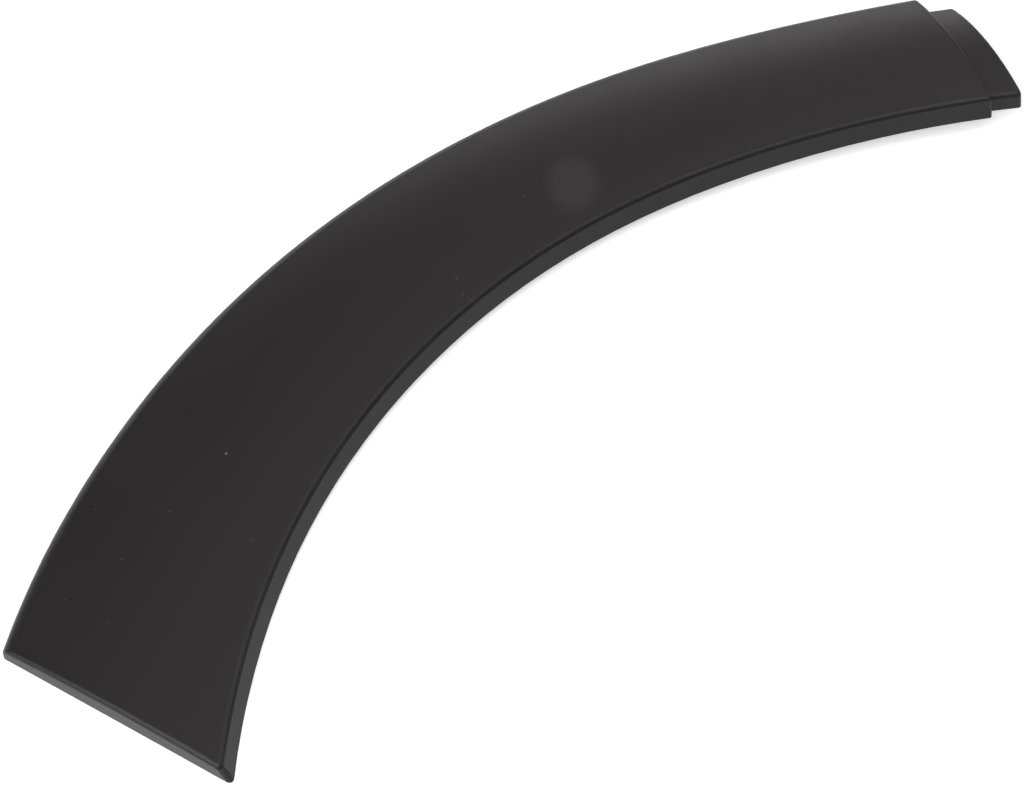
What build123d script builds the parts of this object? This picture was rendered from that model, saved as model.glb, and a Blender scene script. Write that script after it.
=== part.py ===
from build123d import *
from math import cos, degrees, radians, sin, tan
import os

# Wheel arch trim: one moulded shell, open at the back, that follows the front half of a wheel opening.
# It lies face up on its outer rim. X runs to the lap joint, Y up the car's side, Z out from the body.
# All lengths are in millimetres and all angles in degrees.

# Wheel-side edge in plan: two tangent arcs, from the lower end round to the lap joint
arch_heading = 88.3
arch_radius_low = 317.0
arch_sweep_low = 60.3
arch_radius_top = 467.0
arch_sweep_top = 19.7
overrun = 30.0

# Width of the band, square to the wheel-side edge, at even steps from the lower end to the lap joint
width_low = 103.8
width_lower_third = 88.9
width_upper_third = 77.5
width_top = 74.8

# Section heights at the lower end and at the lap joint, above the plane of the outer rim
lip_foot_low = 0.0
lip_foot_top = 10.0
lip_rise_low = 8.5
lip_rise_top = 10.2
lip_lean_low = 28.0
lip_lean_top = 17.0
rim_wall = 2.0
crown_low = 2.0
crown_top = 5.8

# Skin, roundings of its show face, and the least rounding of what lies under that face
wall = 2.5
lip_round_low = 3.2
lip_round_top = 2.4
rim_round = 5.0
covered_round = 3.0
lower_end_round = 1.9
lap_round = 1.4
# An end rounding may be up to this share of the section rounding that it runs into
round_share = 0.6

# Ends of the band, turned in plan from square to the wheel-side edge
lower_end_skew = 29.0
lap_skew = 13.9

# Overlap tab that the neighbouring trim covers
tab_length = 14.8
tab_drop = 3.0
tab_lip_inset = 0.9
tab_rim_inset = 2.6
tab_end_round = 1.8

# Stiffening ribs and clip towers behind the skin
back_recess = 1.0
rib_thickness = 1.4
ribs_per_bay = 2
tower_count = 4
tower_end_gap = 62.0
tower_length = 21.0
tower_depth = 20.0
tower_wall = 1.6
clip_seat = 2.2
clip_neck = 6.4

# Sections along the arch
band_sections = 9
tab_sections = 4

# No point of the show face is higher than this
full_depth = lip_foot_top + lip_rise_top + crown_top

# The path is carried past both ends, so that the lofts can be trimmed to the end planes
overrun_low = degrees(overrun / arch_radius_low)
overrun_top = degrees(overrun / arch_radius_top)
first_heading = radians(arch_heading + overrun_low)
with BuildLine() as wheel_edge:
    low_arc = JernArc(
        (0, 0), (cos(first_heading), sin(first_heading)), arch_radius_low, -arch_sweep_low - overrun_low
    )
    JernArc(low_arc @ 1, low_arc % 1, arch_radius_top, -arch_sweep_top - overrun_top)
edge_path = wheel_edge.wire()
arch_length = edge_path.length - 2 * overrun


def between(low, top, along):
    """Value that changes evenly from the lower end to the lap joint."""
    return low + (top - low) * along / arch_length


def band_width(along):
    """Cubic through the four widths."""
    step = 3 * along / arch_length
    return (
        width_low * (1 - step) * (2 - step) * (3 - step) / 6
        + width_lower_third * step * (2 - step) * (3 - step) / 2
        + width_upper_third * step * (step - 1) * (3 - step) / 2
        + width_top * step * (step - 1) * (step - 2) / 6
    )


def station(along):
    """Plane across the band at a distance along it: x outward from the wheel, y up, z along the band."""
    spot = (overrun + along) / edge_path.length
    heading = edge_path % spot
    return Plane(edge_path @ spot, x_dir=Vector(-heading.Y, heading.X), z_dir=heading)


def end_plane(along, turn):
    """Upright plane across the band, turned in plan from square to the wheel-side edge."""
    across = station(along)
    return Plane(across.origin, across.x_dir.rotate(Axis.Z, turn), across.z_dir.rotate(Axis.Z, turn))


def seat_plane(along):
    """Plane of a clip seat in the open back, halfway across the band, with z towards the skin."""
    across = station(along)
    foot = between(lip_foot_low, lip_foot_top, along)
    lip_side = across.from_local_coords(Vector(0, foot + back_recess))
    rim_side = across.from_local_coords(Vector(band_width(along), back_recess))
    outward = rim_side - lip_side
    return Plane((lip_side + rim_side) * 0.5, x_dir=outward, z_dir=across.z_dir.cross(outward))


def end_edges(part, end):
    """Edges of the part's face on an end plane, without those of its open back."""
    end_face = part.faces().filter_by(GeomType.PLANE).sort_by_distance(end.origin)[0]
    back_faces = part.faces().filter_by(lambda face: face.normal_at().Z < -0.9)
    return (end_face.edges() - back_faces.edges()).sort_by(Axis.Z)


def band_profile(along, depth=0, lip_inset=0, rim_inset=0):
    """Closed section at a depth under the show face: lip, crown and rim wall, carried on below the rim."""
    lean = radians(between(lip_lean_low, lip_lean_top, along))
    foot = between(lip_foot_low, lip_foot_top, along)
    crease = foot + between(lip_rise_low, lip_rise_top, along) - depth
    lip_side = lip_inset + depth / cos(lean)
    rim_side = band_width(along) - rim_inset - depth
    lip_foot = Vector(lip_side - full_depth * tan(lean), foot - full_depth)
    lip_top = Vector(lip_side + (crease - foot) * tan(lean), crease)
    rim_top = Vector(rim_side, rim_wall + rim_round - depth)
    crown_middle = (lip_top + rim_top) * 0.5 + Vector(0, between(crown_low, crown_top, along))
    lip_round = between(lip_round_low, lip_round_top, along)
    with BuildSketch(station(along)) as profile:
        with BuildLine():
            Line(lip_foot, lip_top)
            ThreePointArc(lip_top, crown_middle, rim_top)
            Polyline(rim_top, (rim_side, -full_depth), lip_foot)
        make_face()
        for corner, radius in ((lip_top, lip_round), (rim_top, rim_round)):
            least = covered_round if depth else radius
            fillet(profile.vertices().sort_by_distance(corner)[0], max(radius - depth, least))
    return profile.sketch


def under_profile(along):
    """Section of the space under the lip: level below its foot, then down to the inside of the rim wall."""
    foot = between(lip_foot_low, lip_foot_top, along)
    inside = band_width(along) - wall
    with BuildSketch(station(along)) as profile:
        Polygon(
            (-overrun, foot),
            (wall, foot),
            (inside, 0),
            (inside, -full_depth),
            (-overrun, -full_depth),
            align=None,
        )
    return profile.sketch


lower_end = end_plane(0, -lower_end_skew)
lap_joint = end_plane(arch_length, lap_skew)
tab_end = lap_joint.offset(tab_length)
band_stations = [i * edge_path.length / (band_sections - 1) - overrun for i in range(band_sections)]
tab_stations = [arch_length + (2 * i / (tab_sections - 1) - 1) * overrun for i in range(tab_sections)]
tower_pitch = (arch_length - 2 * tower_end_gap) / (tower_count - 1)
tower_stations = [tower_end_gap + i * tower_pitch for i in range(tower_count)]
rib_pitch = tower_pitch / (ribs_per_bay + 1)
rib_stations = [along + (i + 1) * rib_pitch for along in tower_stations[:-1] for i in range(ribs_per_bay)]

with BuildPart() as main_band:
    loft([band_profile(along) for along in band_stations])
    split(bisect_by=lower_end, keep=Keep.TOP)
    split(bisect_by=lap_joint, keep=Keep.BOTTOM)
    fillet(end_edges(main_band, lower_end), min(lower_end_round, round_share * lip_round_low))
    fillet(end_edges(main_band, lap_joint), min(lap_round, round_share * lip_round_top))

with BuildPart() as lap_tab:
    loft([
        band_profile(along, tab_drop, tab_lip_inset, tab_rim_inset)
        for along in tab_stations
    ])
    split(bisect_by=lap_joint.offset(-wall), keep=Keep.TOP)
    split(bisect_by=tab_end, keep=Keep.BOTTOM)
    fillet(end_edges(lap_tab, tab_end), min(tab_end_round, round_share * covered_round))

# Ribs and towers are left standing in the hollow, so they run into the skin
with BuildPart() as backing:
    for along in rib_stations:
        foot = between(lip_foot_low, lip_foot_top, along)
        rim = band_width(along)
        with BuildSketch(station(along)):
            Polygon((0, foot + back_recess), (rim, back_recess), (rim, full_depth), (0, full_depth), align=None)
        extrude(amount=rib_thickness / 2, both=True)
    for along in tower_stations:
        seat = seat_plane(along)
        with BuildSketch(seat):
            Rectangle(tower_depth, tower_length)
        extrude(amount=full_depth)
        with BuildSketch(seat.offset(clip_seat)):
            with Locations((-tower_wall, 0)):
                Rectangle(tower_depth, tower_length - 2 * tower_wall)
        extrude(amount=full_depth, mode=Mode.SUBTRACT)
        with BuildSketch(seat):
            Circle(clip_neck / 2)
            Rectangle(tower_depth, clip_neck, align=(Align.MAX, Align.CENTER))
        extrude(amount=clip_seat, mode=Mode.SUBTRACT)

with BuildPart() as band_hollow:
    loft([band_profile(along, wall) for along in band_stations])
    split(bisect_by=lower_end.offset(wall), keep=Keep.TOP)
    split(bisect_by=lap_joint.offset(-wall), keep=Keep.BOTTOM)
    add(backing.part, mode=Mode.SUBTRACT)

with BuildPart() as tab_hollow:
    loft([
        band_profile(along, tab_drop + wall, tab_lip_inset, tab_rim_inset)
        for along in tab_stations
    ])
    split(bisect_by=lap_joint.offset(-2 * wall), keep=Keep.TOP)

with BuildPart() as underside:
    loft([under_profile(along) for along in band_stations])

with BuildPart() as moulding:
    add(main_band.part)
    add(lap_tab.part)
    split(bisect_by=Plane.XY, keep=Keep.TOP)
    add(underside.part, mode=Mode.SUBTRACT)
    add(band_hollow.part, mode=Mode.SUBTRACT)
    add(tab_hollow.part, mode=Mode.SUBTRACT)

# The origin is under the middle of the trim, on the plane that it lies on
footprint = moulding.part.bounding_box()
middle = footprint.center()
with BuildPart() as arch_trim:
    with Locations((-middle.X, -middle.Y, -footprint.min.Z)):
        add(moulding.part)

os.makedirs("parts", exist_ok=True)
arch_trim.part.label = "arch_trim"
export_step(arch_trim.part, "parts/arch_trim.step")
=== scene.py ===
"""A black plastic wheel arch trim: its satin finish, and the studio that it is shown in."""

from math import cos, pi, radians, sin

import bpy
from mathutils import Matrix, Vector


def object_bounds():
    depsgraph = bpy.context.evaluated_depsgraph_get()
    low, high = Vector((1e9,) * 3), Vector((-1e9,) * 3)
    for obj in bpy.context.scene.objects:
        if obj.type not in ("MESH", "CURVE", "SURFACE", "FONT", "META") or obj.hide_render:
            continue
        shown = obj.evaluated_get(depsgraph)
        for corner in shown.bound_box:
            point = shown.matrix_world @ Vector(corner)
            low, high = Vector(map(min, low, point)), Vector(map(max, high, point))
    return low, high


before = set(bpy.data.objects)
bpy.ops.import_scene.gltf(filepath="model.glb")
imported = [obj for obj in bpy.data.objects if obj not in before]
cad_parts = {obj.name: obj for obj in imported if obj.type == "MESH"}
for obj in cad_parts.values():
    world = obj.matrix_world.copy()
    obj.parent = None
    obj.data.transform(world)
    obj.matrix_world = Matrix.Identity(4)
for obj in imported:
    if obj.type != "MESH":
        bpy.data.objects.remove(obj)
CAD_BOX = [list(corner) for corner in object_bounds()]
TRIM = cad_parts["arch_trim"]

bl_info = {
    "name": "Wheel arch trim",
    "version": (1, 0, 0),
    "blender": (4, 5, 0),
    "location": "View3D > Sidebar > Arch trim",
    "description": "Finishes a moulded wheel arch trim and sets a plain studio around it",
    "category": "Object",
}

MM = 0.001

# Marks on the show face, in millimetres: middle, half length and half width, turn in degrees, strength
RUBBED_SPOT = ((14.6, 82.9), (11.2, 14.6), 0, 0.036)
DUST_SPECKS = (
    ((-128.7, -52.1), (0.55, 0.40), 20, 0.60),
    ((-150.2, -79.1), (0.35, 0.35), 0, 0.22),
    ((-181.1, -76.5), (0.35, 0.30), 0, 0.16),
    ((-168.2, -100.8), (0.35, 0.35), 0, 0.16),
    ((-171.8, -130.4), (0.35, 0.30), 0, 0.14),
    ((-189.8, -118.6), (0.35, 0.35), 0, 0.12),
    ((-6.2, 76.0), (0.60, 0.50), 0, 0.08),
    ((-115.8, -92.8), (0.35, 0.35), 0, 0.12),
)
SCRATCHES = (
    ((-34.8, 34.0), (1.9, 0.30), 80, 0.060),
    ((-36.5, 35.1), (1.6, 0.25), 75, 0.035),
    ((-32.5, 26.1), (1.7, 0.30), 95, 0.060),
    ((-29.1, 23.3), (2.4, 0.35), -38, 0.035),
    ((-158.1, -74.6), (7.8, 0.45), -27, 0.012),
)
# A mark fades in from the first of these multiples of its half sizes to the second
MARK_EDGE = (1.3, 0.6)

# The lip's faces look this way, from the middle of the arch to the wheel
TO_WHEEL = (0.707, -0.707, 0.0)
# The lip's sheen starts where a face looks this much to the wheel, and is full at the second value
LIP_FACING = (0.35, 0.6)

# Octaves of the soft clouds and of the moulded grain
CLOUD_DETAIL = 5.0
GRAIN_DETAIL = 2.0

# Floor and light distance in metres, and the camera's sensor in millimetres
FLOOR_SIZE = 8.0
FLOOR_ROUGHNESS = 0.9
SOFTBOX_DISTANCE = 3.0
SENSOR_WIDTH = 36.0

# Soft lights: azimuth from behind the trim towards its right, elevation, width and height in metres,
# and radiance
SOFTBOXES = {
    "top_softbox": (0, 90, 2.2, 2.2, 0.74),
    "back_softbox": (14, 45, 2.2, 2.2, 0.54),
    "right_softbox": (62, 42, 2.4, 2.2, 1.05),
    "front_softbox": (180, 62, 2.6, 2.6, 1.87),
    "front_left_softbox": (-135, 42, 2.2, 2.2, 3.02),
    "horizon_strip": (-22, 12, 3.6, 1.2, 1.54),
}


class TrimFinish(bpy.types.PropertyGroup):
    """Colour and surface of the moulded plastic."""

    plastic: bpy.props.FloatVectorProperty(
        name="Plastic", description="Colour of the plastic itself",
        subtype="COLOR", size=3, min=0, max=1, default=(0.0122, 0.0115, 0.0117),
    )
    dust: bpy.props.FloatVectorProperty(
        name="Dust", description="Colour of dust and scuffed plastic",
        subtype="COLOR", size=3, min=0, max=1, default=(0.40, 0.39, 0.38),
    )
    roughness: bpy.props.FloatProperty(
        name="Roughness", description="Roughness of the satin surface",
        subtype="FACTOR", min=0, max=1, default=0.43,
    )
    sheen: bpy.props.FloatProperty(
        name="Sheen", description="Specular level of the show face",
        subtype="FACTOR", min=0, max=1, default=0.5,
    )
    lip_sheen: bpy.props.FloatProperty(
        name="Lip sheen", description="Specular level of the wheel-side lip",
        subtype="FACTOR", min=0, max=1, default=0.35,
    )
    mottle: bpy.props.FloatProperty(
        name="Mottle", description="How much colour and roughness wander",
        subtype="FACTOR", min=0, max=1, default=0.14,
    )
    mottle_size: bpy.props.FloatProperty(
        name="Mottle size", description="Width of one soft cloud in the finish",
        unit="LENGTH", default=0.03,
    )
    grain_size: bpy.props.FloatProperty(
        name="Grain size", description="Width of one bump of the moulded grain",
        unit="LENGTH", default=0.0007,
    )
    grain_depth: bpy.props.FloatProperty(
        name="Grain depth", description="Height of the moulded grain",
        unit="LENGTH", precision=6, default=0.000015,
    )


class TrimStage(bpy.types.PropertyGroup):
    """Floor, light and camera."""

    floor: bpy.props.FloatVectorProperty(
        name="Floor", description="Colour of the floor",
        subtype="COLOR", size=3, min=0, max=1, default=(0.82, 0.872, 0.845),
    )
    backdrop: bpy.props.FloatVectorProperty(
        name="Backdrop", description="Colour of the surroundings and of the light through the floor",
        subtype="COLOR", size=3, min=0, max=1, default=(0.85, 0.85, 0.85),
    )
    tint: bpy.props.FloatVectorProperty(
        name="Tint", description="Colour of the soft lights",
        subtype="COLOR", size=3, min=0, max=1, default=(1.0, 0.94, 0.97),
    )
    floor_glow: bpy.props.FloatProperty(
        name="Floor glow", description="Light that comes up through the floor",
        min=0, default=0.58,
    )
    light: bpy.props.FloatProperty(
        name="Light", description="Strength of all the soft lights together",
        min=0, default=1.0,
    )
    elevation: bpy.props.FloatProperty(
        name="Elevation", description="Angle of the camera above the floor",
        subtype="ANGLE", default=radians(57),
    )
    distance: bpy.props.FloatProperty(
        name="Distance", description="From the camera to the point that it aims at",
        unit="LENGTH", default=1.3,
    )
    aim: bpy.props.FloatVectorProperty(
        name="Aim", description="Point on the floor that the camera aims at",
        subtype="XYZ", unit="LENGTH", size=3, default=(-0.0116, -0.0142, 0.0),
    )
    lens: bpy.props.FloatProperty(
        name="Lens", description="Focal length of the camera",
        unit="CAMERA", default=108.9,
    )


def add_node(tree, kind, inputs, **settings):
    """Adds a shader node; each input is a value or another node's output."""
    node = tree.nodes.new(kind)
    for name, value in settings.items():
        setattr(node, name, value)
    for name, value in inputs.items():
        if isinstance(value, bpy.types.NodeSocket):
            tree.links.new(value, node.inputs[name])
        else:
            node.inputs[name].default_value = value
    return node


def mark_mask(tree, place, mark):
    """Soft-edged oval on the show face: its strength inside, and nothing outside."""
    middle, half_sizes, turn, strength = mark
    local = add_node(
        tree, "ShaderNodeMapping",
        {
            "Vector": place,
            "Location": (middle[0] * MM, middle[1] * MM, 0),
            "Rotation": (0, 0, radians(turn)),
            "Scale": (half_sizes[0] * MM, half_sizes[1] * MM, 1),
        },
        vector_type="TEXTURE",
    )
    reach = add_node(
        tree, "ShaderNodeVectorMath", {0: local.outputs["Vector"]}, operation="LENGTH",
    )
    mask = add_node(
        tree, "ShaderNodeMapRange",
        {
            "Value": reach.outputs["Value"],
            "From Min": MARK_EDGE[0],
            "From Max": MARK_EDGE[1],
            "To Min": 0.0,
            "To Max": strength,
        },
        interpolation_type="SMOOTHSTEP",
    )
    return mask.outputs["Result"]


def satin_plastic(finish):
    """Satin black plastic: moulded grain, faint clouds, a duller lip, one rubbed spot, dust and scratches."""
    material = bpy.data.materials.new("satin_black_plastic")
    material.use_nodes = True
    tree = material.node_tree
    coordinates = tree.nodes.new("ShaderNodeTexCoord")
    place = coordinates.outputs["Object"]

    clouds = add_node(
        tree, "ShaderNodeTexNoise",
        {"Vector": place, "Scale": 1 / finish.mottle_size, "Detail": CLOUD_DETAIL},
    ).outputs["Fac"]
    darker = [channel * (1 - finish.mottle) for channel in finish.plastic]
    lighter = [channel * (1 + finish.mottle) for channel in finish.plastic]
    colour = add_node(
        tree, "ShaderNodeMix", {"Factor": clouds, "A": (*darker, 1), "B": (*lighter, 1)}, data_type="RGBA",
    )
    roughness = add_node(
        tree, "ShaderNodeMapRange",
        {
            "Value": clouds,
            "To Min": finish.roughness * (1 + finish.mottle),
            "To Max": finish.roughness * (1 - finish.mottle),
        },
    )

    facing = add_node(
        tree, "ShaderNodeVectorMath",
        {0: coordinates.outputs["Normal"], 1: TO_WHEEL},
        operation="DOT_PRODUCT",
    )
    sheen = add_node(
        tree, "ShaderNodeMapRange",
        {
            "Value": facing.outputs["Value"],
            "From Min": LIP_FACING[0],
            "From Max": LIP_FACING[1],
            "To Min": finish.sheen,
            "To Max": finish.lip_sheen,
        },
        interpolation_type="SMOOTHSTEP",
    )

    marks = mark_mask(tree, place, RUBBED_SPOT)
    for mark in (*DUST_SPECKS, *SCRATCHES):
        mask = mark_mask(tree, place, mark)
        marks = add_node(tree, "ShaderNodeMath", {0: marks, 1: mask}, operation="MAXIMUM").outputs["Value"]
    dusty = add_node(
        tree, "ShaderNodeMix",
        {"Factor": marks, "A": colour.outputs["Result"], "B": (*finish.dust, 1)},
        data_type="RGBA",
    )

    grain = add_node(
        tree, "ShaderNodeTexNoise",
        {"Vector": place, "Scale": 1 / finish.grain_size, "Detail": GRAIN_DETAIL},
    )
    bump = add_node(
        tree, "ShaderNodeBump", {"Height": grain.outputs["Fac"], "Distance": finish.grain_depth},
    )

    shader = tree.nodes["Principled BSDF"]
    tree.links.new(dusty.outputs["Result"], shader.inputs["Base Color"])
    tree.links.new(roughness.outputs["Result"], shader.inputs["Roughness"])
    tree.links.new(sheen.outputs["Result"], shader.inputs["Specular IOR Level"])
    tree.links.new(bump.outputs["Normal"], shader.inputs["Normal"])
    return material


class ARCHTRIM_OT_finish_trim(bpy.types.Operator):
    """Gives the moulded trim its satin black plastic"""

    bl_idname = "archtrim.finish_trim"
    bl_label = "Finish the trim"

    def execute(self, context):
        TRIM.data.materials.clear()
        TRIM.data.materials.append(satin_plastic(context.scene.trim_finish))
        return {"FINISHED"}


def add_floor(stage):
    """Wide plain floor just under the trim, with some light of its own."""
    bpy.ops.mesh.primitive_plane_add(size=FLOOR_SIZE, location=(0, 0, CAD_BOX[0][2]))
    floor = bpy.context.object
    floor.name = "studio_floor"
    paper = bpy.data.materials.new("floor_paper")
    paper.use_nodes = True
    shader = paper.node_tree.nodes["Principled BSDF"]
    shader.inputs["Base Color"].default_value = (*stage.floor, 1)
    shader.inputs["Roughness"].default_value = FLOOR_ROUGHNESS
    shader.inputs["Specular IOR Level"].default_value = 0.0
    shader.inputs["Emission Color"].default_value = (*stage.backdrop, 1)
    shader.inputs["Emission Strength"].default_value = stage.floor_glow
    floor.data.materials.append(paper)


def add_softbox(name, azimuth, elevation, width, height, radiance, tint):
    """Soft rectangular light that looks at the middle of the trim."""
    data = bpy.data.lights.new(name, "AREA")
    data.shape = "RECTANGLE"
    data.size = width
    data.size_y = height
    data.energy = radiance * pi * width * height
    data.color = tint
    light = bpy.data.objects.new(name, data)
    bpy.context.scene.collection.objects.link(light)
    turn = radians(azimuth)
    rise = radians(elevation)
    direction = Vector((sin(turn) * cos(rise), cos(turn) * cos(rise), sin(rise)))
    light.location = direction * SOFTBOX_DISTANCE
    light.rotation_euler = light.location.to_track_quat("Z", "Y").to_euler()
    light.visible_camera = False


def add_backdrop(stage):
    """Pale surroundings that the camera sees, but that add no light."""
    world = bpy.data.worlds.new("studio")
    world.use_nodes = True
    tree = world.node_tree
    background = tree.nodes["Background"]
    background.inputs["Color"].default_value = (*stage.backdrop, 1)
    light_path = tree.nodes.new("ShaderNodeLightPath")
    tree.links.new(light_path.outputs["Is Camera Ray"], background.inputs["Strength"])
    bpy.context.scene.world = world


def add_camera(stage):
    """Camera at the photograph's viewing angle."""
    data = bpy.data.cameras.new("camera")
    data.sensor_width = SENSOR_WIDTH
    data.lens = stage.lens
    camera = bpy.data.objects.new("camera", data)
    bpy.context.scene.collection.objects.link(camera)
    back = Vector((0, -cos(stage.elevation), sin(stage.elevation)))
    camera.location = Vector(stage.aim) + back * stage.distance
    camera.rotation_euler = back.to_track_quat("Z", "Y").to_euler()
    bpy.context.scene.camera = camera


class ARCHTRIM_OT_set_stage(bpy.types.Operator):
    """Sets the floor, the soft lights and the camera"""

    bl_idname = "archtrim.set_stage"
    bl_label = "Set the stage"

    def execute(self, context):
        stage = context.scene.trim_stage
        add_floor(stage)
        add_backdrop(stage)
        for name, (azimuth, elevation, width, height, radiance) in SOFTBOXES.items():
            add_softbox(name, azimuth, elevation, width, height, radiance * stage.light, stage.tint)
        context.scene.view_settings.view_transform = "Standard"
        add_camera(stage)
        return {"FINISHED"}


class ARCHTRIM_PT_panel(bpy.types.Panel):
    """Lists the settings and the steps"""

    bl_idname = "ARCHTRIM_PT_panel"
    bl_label = "Arch trim"
    bl_space_type = "VIEW_3D"
    bl_region_type = "UI"
    bl_category = "Arch trim"

    def draw(self, context):
        for group in (context.scene.trim_finish, context.scene.trim_stage):
            for name in group.__annotations__:
                self.layout.prop(group, name)
        for operator in (ARCHTRIM_OT_finish_trim, ARCHTRIM_OT_set_stage):
            self.layout.operator(operator.bl_idname)


CLASSES = (TrimFinish, TrimStage, ARCHTRIM_OT_finish_trim, ARCHTRIM_OT_set_stage, ARCHTRIM_PT_panel)


def register():
    for cls in CLASSES:
        bpy.utils.register_class(cls)
    bpy.types.Scene.trim_finish = bpy.props.PointerProperty(type=TrimFinish)
    bpy.types.Scene.trim_stage = bpy.props.PointerProperty(type=TrimStage)


def unregister():
    del bpy.types.Scene.trim_stage
    del bpy.types.Scene.trim_finish
    for cls in reversed(CLASSES):
        bpy.utils.unregister_class(cls)


def main():
    register()
    bpy.ops.archtrim.finish_trim()
    bpy.ops.archtrim.set_stage()


if __name__ == "__main__":
    main()
